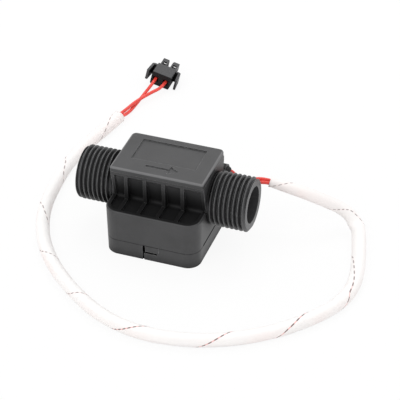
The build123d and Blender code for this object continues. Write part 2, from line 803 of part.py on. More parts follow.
def make_connector_housing():
    """The plug's housing: body, two hollow arms with latch windows and two finger wings."""
    plan = plug_plan()
    arm_x = plug_lead_pitch / 2
    with BuildPart() as plug:
        with BuildSketch(plan.offset(-plug_height / 2)):
            with Locations((0, plug_length / 2)):
                Rectangle(plug_width, plug_length)
        extrude(amount=plug_height)
        long_edges = plug.edges().filter_by(lambda e: abs((e % 0).dot(plan.y_dir)) > 0.99)
        fillet(long_edges, radius=plug_corner)
        with BuildSketch(plan.offset(-plug_arm_height / 2)):
            with Locations((arm_x, plug_length), (-arm_x, plug_length)):
                Rectangle(plug_arm_width, plug_arm_length, align=(Align.CENTER, Align.MIN))
            with Locations((0, plug_length + plug_arm_length)):
                Circle(plug_arm_notch, mode=Mode.SUBTRACT)
        extrude(amount=plug_arm_height)
        # Finger wings that bow out at the sides and run back towards the leads
        wing_front = plug_wing_root + plug_wing_thickness
        wing_back = wing_front - plug_wing_length
        wing_inside = plug_wing_reach - plug_wing_thickness
        wing = [
            (plug_width / 2, plug_wing_root),
            (wing_inside, plug_wing_root),
            (wing_inside + plug_wing_lean, wing_back),
            (plug_wing_reach + plug_wing_lean, wing_back),
            (plug_wing_reach, wing_front - plug_wing_thickness / 2),
            (wing_inside, wing_front),
            (plug_width / 2, wing_front),
        ]
        with BuildSketch(plan.offset(-plug_wing_height / 2)):
            for side in (1, -1):
                with BuildLine():
                    Polyline(*[(side * x, y) for x, y in wing], close=True)
                make_face()
        extrude(amount=plug_wing_height)
        # Cavities for the terminals and the latch windows through the arms
        cross = Plane(origin=plan.origin, x_dir=-plan.x_dir, z_dir=plan.y_dir)
        with BuildSketch(cross):
            with Locations((arm_x, 0), (-arm_x, 0)):
                Rectangle(plug_cavity, plug_cavity)
        extrude(amount=plug_length, mode=Mode.SUBTRACT)
        with BuildSketch(cross.offset(plug_length)):
            with Locations((arm_x, 0), (-arm_x, 0)):
                Rectangle(plug_arm_bore, plug_arm_bore)
        extrude(amount=plug_arm_length, mode=Mode.SUBTRACT)
        window_y = plug_length + plug_window_start + plug_window_length / 2
        with BuildSketch(plan.offset(-plug_arm_height / 2)):
            with Locations((arm_x, window_y), (-arm_x, window_y)):
                Rectangle(plug_window_width, plug_window_length)
        extrude(amount=plug_arm_height, mode=Mode.SUBTRACT)
    finish(plug, "connector_housing")


def make_terminal(name, side):
    """One crimped contact, round at the lead and square at the mating end."""
    plan = plug_plan()
    cross = Plane(origin=plan.origin, x_dir=plan.x_dir, z_dir=plan.y_dir)
    with BuildPart() as terminal:
        with BuildSketch(cross.offset(lead_insert)):
            with Locations((side * plug_lead_pitch / 2, 0)):
                Circle(crimp_radius)
        extrude(amount=crimp_length)
        with BuildSketch(cross.offset(lead_insert + crimp_length)):
            with Locations((side * plug_lead_pitch / 2, 0)):
                Rectangle(terminal_size, terminal_size)
        extrude(amount=terminal_length)
    finish(terminal, name)


def lead_points(side, out, end, entry_side):
    """The whole route of one lead, from the board through the tunnel and the sleeve to the plug."""
    start_x = lead_pair_x - side * lead_half_gap
    row_y = tunnel_y + side * lead_half_gap
    plan = plug_plan()
    entry_x = entry_side * plug_lead_pitch / 2
    before_plug = plan.from_local_coords((entry_x, -lead_run_in, 0))
    in_plug = plan.from_local_coords((entry_x, lead_insert, 0))
    points = [
        (start_x, lead_start_y, cable_height),
        (start_x, row_y - lead_corner, cable_height),
        (start_x + lead_corner, row_y, cable_height),
    ]
    points += out + beside(sleeve_points, side * sleeve_lead_offset) + end
    return points + [tuple(before_plug), tuple(in_plug)]


def main():
    make_body()
    make_top_cover()
    make_bottom_cap()
    make_chamber_cover()
    make_cover_seal()
    make_cover_screws()
    make_rotor_wheel()
    make_rotor_magnet()
    make_rotor_shaft()
    make_bush("lower_bush", spigot_top, -1)
    make_bush("upper_bush", chamber_top, 1)
    make_sensor_board()
    make_reed_glass()
    make_reed_wire("reed_wire_in", -1)
    make_reed_wire("reed_wire_out", 1)
    make_wire_grommet()
    make_connector_housing()
    make_terminal("terminal_1", 1)
    make_terminal("terminal_2", -1)
    finish(tube(lead_points(1, lead_1_out, lead_1_end, 1), lead_radius, 0, "lead_1"), "lead_1")
    finish(tube(lead_points(-1, lead_2_out, lead_2_end, -1), lead_radius, 0, "lead_2"), "lead_2")
    finish(tube(sleeve_points, sleeve_radius, sleeve_radius - sleeve_wall, "sleeve"), "sleeve")


main()
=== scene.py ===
from math import cos, pi, radians, sin, tau

import bpy
import numpy as np
from mathutils import Matrix, Vector, noise


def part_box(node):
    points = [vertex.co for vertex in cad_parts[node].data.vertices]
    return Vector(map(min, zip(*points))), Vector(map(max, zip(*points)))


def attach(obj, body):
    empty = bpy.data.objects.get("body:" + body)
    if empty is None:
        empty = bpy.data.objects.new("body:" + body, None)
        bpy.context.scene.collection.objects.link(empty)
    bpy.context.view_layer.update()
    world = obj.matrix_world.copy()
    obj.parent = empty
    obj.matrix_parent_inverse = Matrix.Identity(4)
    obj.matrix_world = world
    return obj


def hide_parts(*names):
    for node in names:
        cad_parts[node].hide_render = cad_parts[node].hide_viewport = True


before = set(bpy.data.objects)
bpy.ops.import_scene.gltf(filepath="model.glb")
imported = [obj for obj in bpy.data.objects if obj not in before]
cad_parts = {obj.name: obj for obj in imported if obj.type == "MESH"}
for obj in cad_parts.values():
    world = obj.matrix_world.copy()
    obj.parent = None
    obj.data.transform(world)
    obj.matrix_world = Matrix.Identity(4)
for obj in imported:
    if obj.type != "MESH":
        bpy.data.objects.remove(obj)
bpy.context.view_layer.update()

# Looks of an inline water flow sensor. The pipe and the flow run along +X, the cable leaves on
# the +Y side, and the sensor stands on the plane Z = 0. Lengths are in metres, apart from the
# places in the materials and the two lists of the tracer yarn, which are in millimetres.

mm = 0.001

# Camera, as fitted to the photograph, with its angles in degrees and its lens in millimetres
camera_azimuth = 19.8622
camera_elevation = 36.1695
camera_roll = -0.4015
camera_place = Vector((197.27, -510.70, 414.59)) * mm
camera_lens = 160.89
camera_sensor = 36.0
camera_range = (0.01, 50.0)

# Pipe ends: a G 1/2 thread in place of the rings of the solid. The chamfer of the solid is
# longer than the one of the scene, so a flat rim closes the wall down to it.
pipe_axis_height = 20.4 * mm
thread_crest_radius = 10.4775 * mm
thread_root_radius = 9.3155 * mm
thread_pitch = 1.814 * mm
thread_land = 0.3 * mm
thread_root_land = 0.2 * mm
thread_start = 19.0 * mm
thread_run_in = 0.9 * mm
end_chamfer = 1.2 * mm
thread_chamfer = 0.6 * mm
wall_bite = 0.8 * mm
wall_tolerance = 0.1 * mm
wall_twist = 0.1
wall_tilt = 0.95
thread_steps = 120
turns_before = 1.5
spare_turns = 4
least_normal = 1e-12

# Where one turn of the thread has its corners, along the pipe
profile_places = [
    -thread_land / 2,
    thread_land / 2,
    (thread_pitch - thread_root_land) / 2,
    (thread_pitch + thread_root_land) / 2,
]

# Leads: two rods side by side, from the board through the tunnel and the grommet to the plug
lead_radius = 0.7 * mm
lead_half_gap = 0.85 * mm
lead_pair_x = 4.05 * mm
lead_start_y = 3.6 * mm
lead_corner = 2.4 * mm
cable_height = 22.05 * mm
tunnel_y = 14.8 * mm
grommet_face = 19.9 * mm
lead_offset = 0.8 * mm

# Lengths of the free cords, measured along the lines that are drawn here
lead_1_length = 376.6 * mm
lead_2_length = 367.9 * mm
sleeve_length = 322.1 * mm

# Braided sleeve: a soft open tube, pinched at its near mouth and pressed flat at its fold. The
# two rates say how quickly its flatness and slack change, per metre.
sleeve_radius = 2.6 * mm
sleeve_wall = 0.5 * mm
sleeve_step = 0.8 * mm
sleeve_sides = 32
sleeve_pinch = 0.27
sleeve_pinch_end = 22.0 * mm
sleeve_flatness = 0.05
sleeve_flat_change = 0.04
sleeve_flat_rate = 45
sleeve_flat_spread = 0.6
sleeve_slack = 0.025
sleeve_slack_rate = 110
mouth_flare = 0.07
mouth_reach = 2.2 * mm
fold_place = Vector((67.6, 22.6, 5.0)) * mm
fold_reach = 5.0 * mm
fold_flatness = 0.26

# Plug, lying a little on its side, and how its leads run into it
plug_place = Vector((-38.6, 93.3, 0)) * mm
plug_heading = radians(91.0)
plug_roll = radians(14.0)
plug_height = 4.04 * mm
plug_lead_pitch = 4.5 * mm
lead_run_in = 4.0 * mm
lead_insert = 2.3 * mm

# Routes of the sleeve and of the leads before and after it
sleeve_route = [
    (0.0350, 0.0166, 0.0202),
    (0.0420, 0.0174, 0.0187),
    (0.0494, 0.0198, 0.0158),
    (0.0564, 0.0228, 0.0116),
    (0.0610, 0.0252, 0.0084),
    (0.0654, 0.0246, 0.0060),
    (0.0689, 0.0216, 0.0042),
    (0.0709, 0.0162, 0.0030),
    (0.0730, 0.0086, sleeve_radius),
    (0.0756, -0.0018, sleeve_radius),
    (0.0770, -0.0140, sleeve_radius),
    (0.0740, -0.0256, sleeve_radius),
    (0.0668, -0.0364, sleeve_radius),
    (0.0562, -0.0474, sleeve_radius),
    (0.0426, -0.0564, sleeve_radius),
    (0.0272, -0.0618, sleeve_radius),
    (0.0108, -0.0628, sleeve_radius),
    (-0.0054, -0.0580, sleeve_radius),
    (-0.0198, -0.0484, sleeve_radius),
    (-0.0326, -0.0368, sleeve_radius),
    (-0.0428, -0.0230, sleeve_radius),
    (-0.0494, -0.0068, sleeve_radius),
    (-0.0520, 0.0104, sleeve_radius),
    (-0.0528, 0.0270, sleeve_radius),
    (-0.0508, 0.0416, sleeve_radius),
    (-0.0479, 0.0536, sleeve_radius),
    (-0.0460, 0.0636, sleeve_radius),
]
lead_1_out = [
    (0.0210, tunnel_y + lead_half_gap - 0.0002, 0.0217),
    (0.0228, 0.0151, 0.0194),
    (0.0258, 0.0150, 0.0194),
    (0.0306, 0.0156, 0.0213),
]
lead_2_out = [
    (0.0210, tunnel_y - lead_half_gap, 0.0215),
    (0.0232, 0.0136, 0.0192),
    (0.0262, 0.0135, 0.0190),
    (0.0310, 0.0142, 0.0206),
]
lead_1_end = [(-0.0452, 0.0704, 0.0023), (-0.0436, 0.0762, 0.0027), (-0.0399, 0.0842, 0.0031)]
lead_2_end = [(-0.0440, 0.0700, 0.0012), (-0.0437, 0.0764, 0.0008), (-0.0423, 0.0852, 0.0024)]

# Tracer yarn of the sleeve. Both lists go by millimetres along the sleeve: the
# first gives the turns that the yarn has made, the second the length of its dashes.
tracer_turns = [
    (0.0, -0.08), (3.2, 0.07), (9.2, 0.34), (27.8, 0.99), (34.5, 1.26), (60.0, 2.11),
    (74.5, 2.26), (81.2, 2.33), (100.0, 3.12), (111.2, 3.43), (130.0, 4.15), (142.2, 4.57),
    (161.0, 5.13), (169.5, 5.44), (191.0, 6.10), (197.2, 6.47), (217.0, 7.12), (223.2, 7.39),
    (241.0, 8.09), (251.0, 8.29), (273.8, 9.14), (281.2, 9.26), (308.0, 10.08), (322.3, 10.42),
]
tracer_dashes = [
    (0.0, 2.0), (35.0, 1.8), (60.0, 3.5), (81.0, 3.5), (106.0, 2.9), (137.0, 2.2), (166.0, 1.7),
    (195.0, 1.5), (221.0, 1.7), (246.0, 3.4), (322.0, 3.6),
]
tracer_width = 0.42 * mm
tracer_red_middle = 135.0 * mm
tracer_red_reach = 45.0 * mm

# Braid of the sleeve, and how far the tint of the leads reaches in from its two ends
braid_strands = 22
braid_pitch = 15.0 * mm
end_tint_reach = (6.0 * mm, 50.0 * mm)

# Places on the plastic, in millimetres: the seam between the body and the bottom cap, drawn as a
# line of painted shade
seam_height = 6.7
seam_width = 0.16
side_seam_width = 0.36
side_seam_end = 13.0
side_seam_place = 17.5

# Painted highlights: the paler edge round the top face and the paler end faces of the pipe
top_edge_x = 18.0
top_edge_y = 11.9
top_edge_z = 33.3
top_edge_highlight = 0.42
end_face_x = 33.7
end_face_highlight = 0.2

# The ribs and the trough round them, inside the rounded rim of the base: painted shade at the ribs'
# feet, and less painted corner shade between their heads
rib_foot = 21.0
rib_relief_foot = 23.0
rib_head = 32.5
rib_relief = 0.9
rib_darkness = 0.75
rim_centre_x = 13.3
rim_centre_y = 14.8
rim_inside = 5.1
trough_height = 17.5

# Painted shade on the rear face of the plug: how deep it fades into the plug, and how far it
# reaches to each side of the middle
plug_rear_depth = (0.2, 0.5)
plug_rear_reach = 4.7
plug_rear_shade = 0.75

# Width over which a place on the plastic fades out
fade = 0.4

# Painted shade: corners and recesses of the plastic are darkened within this distance, from the
# first of these openings downwards fully and from the second one upwards not at all
corner_reach = 8.0 * mm
corner_openings = (0.15, 0.9)
corner_shade = 0.85
shade_black = (0.004, 0.004, 0.004)

# How strongly the matt housing and plug, and the other plastics, mirror, and how far the
# normal turns from a plain surface to a full edge
matt_level = 0.38
plain_level = 0.5
edge_turn = (0.004, 0.09)

# Wire holes of the board and the reach of the bare copper round them, in millimetres
board_holes = ((6.5, -4.9), (-6.5, -4.9), (3.2, 3.6), (4.9, 3.6))
board_copper_reach = (0.75, 0.85)
board_weave_pitch = 0.9

# Light: the floor, its paint and its share of plain white, the strength of the surroundings,
# and the lamps with their places and sizes in metres and their powers in watts
floor_reach = 3.0
floor_level = -0.02 * mm
floor_paint = (0.86, 0.86, 0.86)
floor_whiteness = 0.9
sky_light = 0.92
lamps = [
    ("top_softbox", (-0.05, 0.55, 0.85), 0.5, 2.2),
    ("front_softbox", (-0.35, -0.7, 0.85), 0.5, 2.3),
    ("side_softbox", (0.95, -0.1, 0.35), 0.5, 0.25),
]


class Value:
    """A shader value: sums, products and comparisons of it add Math nodes."""

    def __init__(self, finish, socket):
        self.finish = finish
        self.socket = socket

    def math(self, operation, *others):
        inputs = dict(enumerate([self, *others]))
        return self.finish.node("ShaderNodeMath", {"operation": operation}, inputs)

    def __add__(self, other):
        return self.math("ADD", other)

    def __radd__(self, other):
        return self.math("ADD", other)

    def __sub__(self, other):
        return self.math("SUBTRACT", other)

    def __rsub__(self, other):
        return (self * -1.0).math("ADD", other)

    def __mul__(self, other):
        return self.math("MULTIPLY", other)

    def __rmul__(self, other):
        return self.math("MULTIPLY", other)

    def __truediv__(self, other):
        return self.math("DIVIDE", other)

    def __mod__(self, other):
        return self.math("FLOORED_MODULO", other)

    def __abs__(self):
        return self.math("ABSOLUTE")

    def __lt__(self, other):
        return self.math("LESS_THAN", other)

    def __gt__(self, other):
        return self.math("GREATER_THAN", other)


class Finish:
    """A material, made from nodes."""

    def __init__(self, name, world=False):
        self.world = world
        self.holder = (bpy.data.worlds if world else bpy.data.materials).new(name)
        self.holder.use_nodes = True
        self.tree = self.holder.node_tree
        self.tree.nodes.clear()

    def node(self, kind, settings=None, inputs=None, output=0):
        """Adds a node, sets it, fills its sockets and gives one of its outputs as a value."""
        made = self.tree.nodes.new(kind)
        for key, value in (settings or {}).items():
            setattr(made, key, value)
        for key, value in (inputs or {}).items():
            if isinstance(value, Value):
                self.tree.links.new(value.socket, made.inputs[key])
            else:
                made.inputs[key].default_value = value
        return Value(self, made.outputs[output]) if made.outputs else None

    def place(self):
        """The point's own place on the part, in millimetres."""
        spot = self.node("ShaderNodeTexCoord", output="Object")
        scale = {0: spot, "Scale": 1 / mm}
        return self.node("ShaderNodeVectorMath", {"operation": "SCALE"}, scale)

    def noise(self, size, detail=2.0, roughness=0.5, place=None):
        """Noise from 0 to 1 with spots of about this size in millimetres."""
        spot = place or self.place()
        inputs = {"Vector": spot, "Scale": 1 / size, "Detail": detail, "Roughness": roughness}
        return self.node("ShaderNodeTexNoise", {}, inputs)

    def smooth(self, value, low, high):
        """0 below low, 1 above high, and a smooth step between them."""
        settings = {"interpolation_type": "SMOOTHSTEP"}
        inputs = {"Value": value, "From Min": low, "From Max": high}
        return self.node("ShaderNodeMapRange", settings, inputs)

    def mix(self, share, first, second):
        """A colour between two others."""
        inputs = {"Factor": share}
        for key, colour in ((6, first), (7, second)):
            inputs[key] = colour if isinstance(colour, Value) else (*colour, 1.0)
        return self.node("ShaderNodeMix", {"data_type": "RGBA"}, inputs, output=2)

    def rounded(self, radius):
        """The surface's normal, as if its edges were rounded by this radius."""
        return self.node("ShaderNodeBevel", {"samples": 6}, {"Radius": radius})

    def edges(self, radius):
        """1 on edges that stick out or in, 0 on plain surfaces."""
        both = {0: self.rounded(radius), 1: self.node("ShaderNodeNewGeometry", output="Normal")}
        settings = {"operation": "DOT_PRODUCT"}
        together = self.node("ShaderNodeVectorMath", settings, both, "Value")
        return self.smooth(1.0 - together, *edge_turn)

    def openness(self, reach):
        """1 where the surface lies open, towards 0 in corners that are narrower than the reach."""
        inputs = {"Distance": reach}
        return self.node("ShaderNodeAmbientOcclusion", {"samples": 12}, inputs, "AO")

    def axis(self, spot, name):
        """One coordinate of a place."""
        return self.node("ShaderNodeSeparateXYZ", {}, {"Vector": spot}, name)

    def bump(self, height, depth, strength=1.0, normal=None):
        """A normal bent by a height from 0 to 1 that stands this many metres tall."""
        inputs = {"Height": height, "Distance": depth, "Strength": strength}
        if normal:
            inputs["Normal"] = normal
        return self.node("ShaderNodeBump", {}, inputs)

    def principled(self, **sockets):
        """A Principled shader."""
        inputs = {}
        for key, value in sockets.items():
            name = key.replace("_", " ").title().replace("Ior", "IOR")
            if name == "Base Color" and not isinstance(value, Value):
                value = (*value, 1.0)
            inputs[name] = value
        return self.node("ShaderNodeBsdfPrincipled", {}, inputs)

    def surface(self, **sockets):
        """Ends the material in a Principled shader."""
        return self.show(self.principled(**sockets))

    def shadowed(self, share, shader):
        """Ends the material in this shader, with painted shade, a dull black, over it by a share.
        """
        black = self.node("ShaderNodeBsdfDiffuse", {}, {"Color": (*shade_black, 1.0)})
        return self.show(self.node("ShaderNodeMixShader", {}, {0: share, 1: shader, 2: black}))

    def show(self, shader):
        """Ends the material or the world in this shader."""
        kind = "ShaderNodeOutputWorld" if self.world else "ShaderNodeOutputMaterial"
        self.node(kind, {}, {"Surface": shader})
        return self.holder


def moulded_plastic(name, colour, wear_and_highlight, grain=0.22, roughness=0.42, edge=0.16, shades=()):
    """Injection moulded plastic: fine spark grain, faint flow marks, and paler edges that are
    partly worn and partly painted highlight.
    """
    finish = Finish(name)
    fine = finish.noise(grain, detail=3.0, roughness=0.65)
    cloud = finish.noise(9.0, detail=3.0)
    edges = finish.edges(edge * mm)
    scuff = finish.smooth(finish.noise(1.4, detail=4.0), 0.42, 0.7)
    # Paler edges, where the plastic is scuffed and also as painted highlight
    pale = edges * (0.45 + 0.55 * scuff)
    low = [c * 0.9 for c in colour]
    high = [c * 1.1 for c in colour]
    tone = finish.mix(finish.smooth(cloud, 0.3, 0.7), low, high)
    tone = finish.mix(pale, tone, wear_and_highlight)
    # Painted highlights at the top edge and the pipe ends, in the same paler colour
    if shades:
        tone = finish.mix(painted_highlights(finish), tone, wear_and_highlight)
    gloss = roughness + 0.1 * (cloud - 0.5) + 0.12 * (fine - 0.5) - 0.08 * edges
    skin = finish.bump(fine * 0.08, 0.2 * mm, 0.6, finish.rounded(edge * mm))
    level = matt_level if shades else plain_level
    plastic = finish.principled(
        base_color=tone, roughness=gloss, specular_ior_level=level, normal=skin
    )
    if not shades:
        return finish.show(plastic)
    # Painted shade: dull black over the plastic in corners and recesses, less of it between the
    # ribs' heads, with the other painted shades added
    closed = 1.0 - finish.smooth(finish.openness(corner_reach), *corner_openings)
    share = closed * corner_shade * (1.0 - rib_shade_relief(finish))
    for shade in shades:
        share = share.math("MAXIMUM", shade(finish))
    return finish.shadowed(share, plastic)


def painted_highlights(finish):
    """Painted highlights on the rounded edge round the top face and on the end faces of the pipe.
    """
    spot = finish.place()
    x = abs(finish.axis(spot, "X"))
    front = finish.smooth(abs(finish.axis(spot, "Y")), top_edge_y - fade, top_edge_y)
    side = finish.smooth(x, top_edge_x - fade, top_edge_x)
    top = front.math("MAXIMUM", side) * (finish.axis(spot, "Z") > top_edge_z)
    return (top * top_edge_highlight).math("MAXIMUM", (x > end_face_x) * end_face_highlight)


def inside_rim(finish, spot):
    """1 inside the rounded rim of the base, 0 outside it."""
    x = (abs(finish.axis(spot, "X")) - rim_centre_x).math("MAXIMUM", 0.0)
    y = (abs(finish.axis(spot, "Y")) - rim_centre_y).math("MAXIMUM", 0.0)
    return 1.0 - finish.smooth((x * x + y * y).math("SQRT"), rim_inside - fade, rim_inside)


def rib_shade(finish):
    """Painted shade at the foot of the ribs."""
    spot = finish.place()
    height = finish.axis(spot, "Z")
    foot = 1.0 - finish.smooth(height, rib_foot, rib_head)
    return foot * inside_rim(finish, spot) * (height > trough_height) * rib_darkness


def rib_shade_relief(finish):
    """Less painted corner shade between the heads of the ribs."""
    spot = finish.place()
    head = finish.smooth(finish.axis(spot, "Z"), rib_relief_foot, rib_head)
    return head * inside_rim(finish, spot) * rib_relief


def plug_rear_painted_shade(finish):
    """Painted shade on the rear face of the plug, round the mouths of its two cavities."""
    spot = finish.place()
    right, along, _, rear = plug_axes()

    def reach(way):
        """Distance from the middle of the rear face along one of the plug's directions."""
        parts = zip(way, (finish.axis(spot, name) for name in "XYZ"))
        return sum(value * part for part, value in parts) - way.dot(rear) / mm

    near = 1.0 - finish.smooth(reach(along), *plug_rear_depth)
    return near * (abs(reach(right)) < plug_rear_reach) * plug_rear_shade


def painted_seam_shade(finish):
    """Painted shade in the seam between body and cap: a fine line, wider along the two sides of the
    base.
    """
    spot = finish.place()
    above = abs(finish.axis(spot, "Z") - seam_height)
    fine = 1.0 - finish.smooth(above, seam_width * 0.5, seam_width * 1.5)
    beside = abs(finish.axis(spot, "X")) > side_seam_place
    along = abs(finish.axis(spot, "Y")) < side_seam_end
    wide = 1.0 - finish.smooth(above, side_seam_width * 0.8, side_seam_width * 1.2)
    return (fine * 0.7).math("MAXIMUM", wide * beside * along)


def soft_rubber(name, colour):
    """Black rubber with a dull bloom and small pits."""
    finish = Finish(name)
    bloom = finish.smooth(finish.noise(1.1, detail=4.0), 0.4, 0.75)
    pits = finish.noise(0.18, detail=2.0)
    tone = finish.mix(bloom, colour, [c * 1.8 + 0.01 for c in colour])
    skin = finish.bump(pits, 0.015 * mm, 0.5)
    gloss = 0.55 + 0.2 * bloom
    return finish.surface(base_color=tone, roughness=gloss, specular_ior_level=0.25, normal=skin)


def plain_metal(name, colour, roughness, direction, stain=0.25):
    """Metal with drawing or turning marks along one direction and light staining."""
    finish = Finish(name)
    spot = finish.node(
        "ShaderNodeVectorMath", {"operation": "MULTIPLY"}, {0: finish.place(), 1: direction}
    )
    marks = finish.noise(1.0, detail=3.0, place=spot)
    dull = finish.smooth(finish.noise(2.2, detail=3.0), 0.45, 0.8)
    tone = finish.mix(dull * stain, colour, [c * 0.55 for c in colour])
    gloss = roughness + 0.16 * (marks - 0.5) + 0.12 * dull
    skin = finish.bump(marks, 0.008 * mm, 0.5)
    return finish.surface(base_color=tone, metallic=1.0, roughness=gloss, normal=skin)


def ring_ferrite(name):
    """Sintered ferrite: dark grey with fine grit."""
    finish = Finish(name)
    grit = finish.noise(0.16, detail=3.0, roughness=0.7)
    tone = finish.mix(grit, (0.018, 0.018, 0.02), (0.075, 0.075, 0.08))
    skin = finish.bump(grit, 0.03 * mm, 0.7)
    return finish.surface(base_color=tone, metallic=0.35, roughness=0.42 + 0.25 * grit, normal=skin)


def board_laminate(name):
    """Green lacquered board with a faint glass weave and bare copper at the wire holes."""
    finish = Finish(name)
    spot = finish.place()
    x = finish.axis(spot, "X")
    y = finish.axis(spot, "Y")
    turn = tau / board_weave_pitch
    weave = (x * turn).math("SINE") * (y * turn).math("SINE") * 0.5 + 0.5
    copper = None
    for hole_x, hole_y in board_holes:
        away = ((x - hole_x) * (x - hole_x) + (y - hole_y) * (y - hole_y)).math("SQRT")
        spot_mask = 1.0 - finish.smooth(away, *board_copper_reach)
        copper = spot_mask if copper is None else copper.math("MAXIMUM", spot_mask)
    tone = finish.mix(weave, (0.008, 0.11, 0.035), (0.015, 0.16, 0.055))
    tone = finish.mix(copper, tone, (0.72, 0.6, 0.42))
    skin = finish.bump(weave * 0.3 + copper * 0.7, 0.03 * mm, 0.6)
    return finish.surface(
        base_color=tone, metallic=copper * 0.9, roughness=0.32 + 0.05 * weave, normal=skin
    )


def reed_tube_glass(name):
    """Thin greenish glass."""
    finish = Finish(name)
    waves = finish.noise(1.5, detail=1.0)
    skin = finish.bump(waves, 0.01 * mm, 0.3)
    return finish.surface(
        base_color=(0.82, 0.95, 0.88),
        transmission_weight=0.9,
        ior=1.5,
        roughness=0.04 + 0.05 * waves,
        normal=skin,
    )


def lead_insulation(name, colour):
    """Smooth bright insulation, a little uneven as extruded."""
    finish = Finish(name)
    cloud = finish.noise(2.5, detail=2.0)
    fine = finish.noise(0.3, detail=2.0)
    tone = finish.mix(finish.smooth(cloud, 0.3, 0.7), [c * 0.9 for c in colour], colour)
    skin = finish.bump(fine, 0.01 * mm, 0.4)
    return finish.surface(
        base_color=tone,
        roughness=0.38 + 0.1 * (fine - 0.5),
        subsurface_weight=0.1,
        subsurface_scale=0.4 * mm,
        normal=skin,
    )


def fibre_braid(name):
    """White varnished glass braid with a dashed red tracer; the red leads show through it."""
    finish = Finish(name)
    along = finish.node("ShaderNodeAttribute", {"attribute_name": "along"}, output="Fac")
    turns = finish.node("ShaderNodeAttribute", {"attribute_name": "tracer_turns"}, output="Fac")
    dashes = finish.node("ShaderNodeAttribute", {"attribute_name": "tracer_dashes"}, output="Fac")
    around = finish.axis(finish.node("ShaderNodeUVMap", {"uv_map": "wrap"}), "X")
    # Distance from the tracer, round the tube
    turn = (around - turns + 0.5) % 1.0
    aside = abs(turn - 0.5) * (tau * sleeve_radius)
    line = 1.0 - finish.smooth(aside, tracer_width * 0.35, tracer_width * 0.75)
    dash = finish.smooth(abs(dashes % 1.0 - 0.5), 0.18, 0.28)
    away = abs(along - tracer_red_middle)
    red = 1.0 - finish.smooth(away, tracer_red_reach, 1.5 * tracer_red_reach)
    # Strands of the braid, one family over the other by turns
    climb = along / braid_pitch
    right = (around + climb) * float(braid_strands)
    left = (around - climb) * float(braid_strands)
    right_round = (right * pi).math("SINE").math("ABSOLUTE")
    left_round = (left * pi).math("SINE").math("ABSOLUTE")
    over = ((right.math("FLOOR") + left.math("FLOOR")) % 2.0) > 0.5
    height = over * right_round + (1.0 - over) * left_round * 0.96
    # The leads lie side by side in the sleeve and tint it where it rests on them
    rest = finish.smooth(abs((around * tau).math("COSINE")), 0.2, 1.0)
    drift = finish.smooth(finish.noise(14.0, detail=2.0), 0.4, 0.7)
    from_end = along.math("MINIMUM", sleeve_length - along)
    near_ends = 1.0 - finish.smooth(from_end, *end_tint_reach)
    tint = rest * (0.06 + 0.2 * drift) + near_ends * 0.16
    # Painted shade: the fibre is darker in the grooves between the strands than on their crowns
    fibre = finish.mix(height, (0.86, 0.845, 0.835), (0.93, 0.915, 0.905))
    tone = finish.mix(tint, fibre, (0.93, 0.72, 0.68))
    tone = finish.mix(line * (0.1 + 0.5 * red), tone, (0.80, 0.22, 0.18))
    tone = finish.mix(line * dash * (0.65 + 0.25 * red), tone, (0.08, 0.045, 0.045))
    skin = finish.bump(height, 0.07 * mm, 0.5)
    return finish.surface(base_color=tone, roughness=0.5 + 0.12 * height, normal=skin)


def studio_floor(name):
    """White with a faint shadow where it is seen, also mirrored or through glass, else paint."""
    finish = Finish(name)
    camera = finish.node("ShaderNodeLightPath", output="Is Camera Ray")
    glossy = finish.node("ShaderNodeLightPath", output="Is Glossy Ray")
    through = finish.node("ShaderNodeLightPath", output="Is Transmission Ray")
    seen = camera.math("MAXIMUM", glossy).math("MAXIMUM", through)
    paint = finish.node("ShaderNodeBsdfDiffuse", {}, {"Color": (*floor_paint, 1.0)})
    white = finish.node("ShaderNodeEmission", {}, {"Color": (1, 1, 1, 1), "Strength": 1.0})
    both = finish.node("ShaderNodeMixShader", {}, {0: seen * floor_whiteness, 1: paint, 2: white})
    return finish.show(both)


def wear(piece, material):
    """Gives a piece one material."""
    piece.data.materials.clear()
    piece.data.materials.append(material)


def beside(points, offset):
    """The same points moved sideways in plan, to the left of the direction of travel."""
    up = Vector((0, 0, 1))
    flat = [Vector((x, y, 0)) for x, y, z in points]
    ways = [(b - a).normalized() for a, b in zip(flat, flat[1:])]
    moved = []
    for i, point in enumerate(points):
        into = ways[max(i - 1, 0)]
        out = ways[min(i, len(ways) - 1)]
        left = up.cross(into + out).normalized()
        stretch = 1 / left.dot(up.cross(out))
        moved.append(tuple(Vector(point) + left * (offset * stretch)))
    return moved


def rope(name, points, radius=0.0, resolution=10):
    """A smooth NURBS line through space with these control points, round if it has a radius."""
    data = bpy.data.curves.new(name, "CURVE")
    data.dimensions = "3D"
    data.resolution_u = resolution
    line = data.splines.new("NURBS")
    line.points.add(len(points) - 1)
    for slot, point in zip(line.points, points):
        slot.co = (*point, 1.0)
    line.order_u = 3
    line.use_endpoint_u = True
    data.bevel_depth = radius
    data.bevel_resolution = 4
    data.use_fill_caps = True
    piece = bpy.data.objects.new(name, data)
    bpy.context.scene.collection.objects.link(piece)
    return piece


def centreline(points, step):
    """Points at equal steps along the NURBS line with these control points."""
    guide = rope("guide", points, resolution=24)
    mesh = bpy.data.meshes.new_from_object(guide)
    line = np.array([v.co for v in mesh.vertices])
    bpy.data.objects.remove(guide)
    bpy.data.meshes.remove(mesh)
    steps = np.linalg.norm(np.diff(line, axis=0), axis=1)
    run = np.concatenate([[0.0], np.cumsum(steps)])
    places = np.linspace(0.0, run[-1], round(run[-1] / step) + 1)
    return np.stack([np.interp(places, run, line[:, k]) for k in range(3)], axis=1), places


def plug_axes():
    """The plug's right, along and up directions and its rear centre."""
    along = Vector((cos(plug_heading), sin(plug_heading), 0))
    flat = Vector((along.y, -along.x, 0))
    right = flat * cos(plug_roll) - Vector((0, 0, 1)) * sin(plug_roll)
    return right, along, right.cross(along), plug_place + Vector((0, 0, plug_height))


def plug_entry(side, depth):
    """A point on the line by which a lead enters the plug."""
    right, along, _, rear = plug_axes()
    return tuple(rear + right * (side * plug_lead_pitch / 2) + along * depth)


